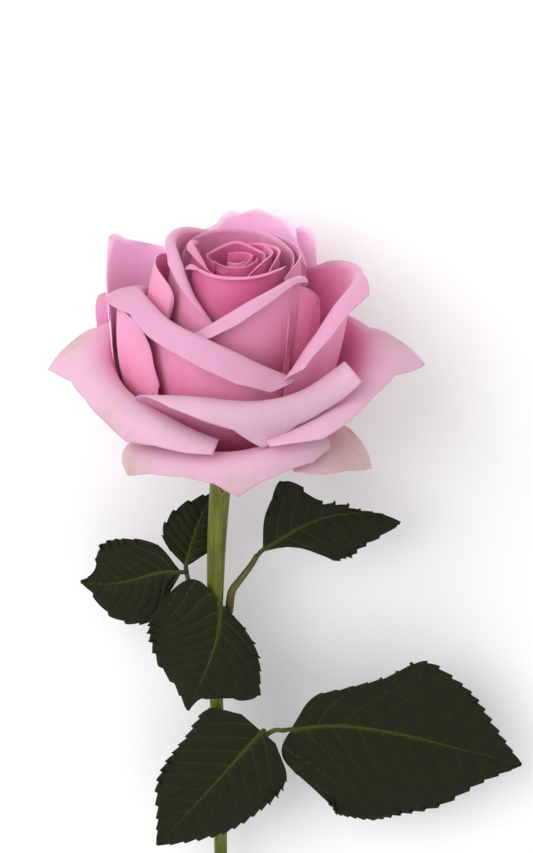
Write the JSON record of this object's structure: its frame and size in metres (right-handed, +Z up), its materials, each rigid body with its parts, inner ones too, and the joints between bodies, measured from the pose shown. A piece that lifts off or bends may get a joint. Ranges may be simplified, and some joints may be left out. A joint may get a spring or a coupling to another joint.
{
  "type": "cut rose",
  "caption": "Cut rose lying on its back: a wide open double bloom with rolled, pointed petals, hip and sepals, a bare, nearly straight stem with a slanted cut, and serrated leaflets.",
  "frame": {"origin": "centre of the bounding box, on the table the flower lies on", "axes": "+Z up from the table; +Y along the stem towards the bloom, -Y towards the cut end; +X across the flower to the side of the large terminal leaflet"},
  "size_m": [0.1506, 0.3088, 0.0905],
  "materials": {
    "petal_heart": "soft matte petal, deep pink",
    "petal_inner": "soft matte petal, rose pink",
    "petal_outer": "soft matte petal, pale lilac pink with greenish tips",
    "hip": "smooth green skin",
    "sepal": "matte green",
    "stem": "smooth satin green skin",
    "leaf": "dark green, faint gloss",
    "leaf_stalk": "green flushed with red-brown"
  },
  "bodies": {
    "root": {"heart_petal_1": "petal_heart", "heart_petal_2": "petal_heart", "heart_petal_3": "petal_heart", "heart_petal_4": "petal_heart", "heart_petal_5": "petal_heart", "heart_petal_6": "petal_heart", "curled_heart_petal": "petal_heart", "front_heart_petal": "petal_heart", "inner_petal_back": "petal_inner", "inner_petal_right": "petal_inner", "rolled_petal_left": "petal_inner", "tucked_petal_right": "petal_inner", "rolled_petal_right": "petal_inner", "tucked_petal_left": "petal_inner", "standing_petal_back": "petal_inner", "sash_petal": "petal_inner", "wing_petal_right": "petal_inner", "cup_petal_left": "petal_inner", "standing_petal_left": "petal_inner", "standing_petal_back_right": "petal_inner", "lip_petal_front": "petal_outer", "wide_petal_left": "petal_outer", "wide_petal_right": "petal_outer", "guard_petal_front": "petal_outer", "guard_petal_right": "petal_outer", "tip_petal_left": "petal_inner", "back_petal_upper": "petal_inner", "back_petal_right": "petal_inner", "back_petal_left": "petal_inner", "guard_petal_left": "petal_outer", "receptacle": "hip", "sepal_1": "sepal", "sepal_2": "sepal", "sepal_3": "sepal", "sepal_4": "sepal", "sepal_5": "sepal", "stem": "stem", "leaflet_right": "leaf", "leaflet_left_low": "leaf", "leaflet_left_high": "leaf", "leaflet_middle": "leaf", "leaflet_terminal": "leaf", "leaflet_lower": "leaf", "petiole_right": "leaf_stalk", "rachis_left": "leaf_stalk", "rachis_lower": "leaf_stalk"}
  },
  "joints": []
}
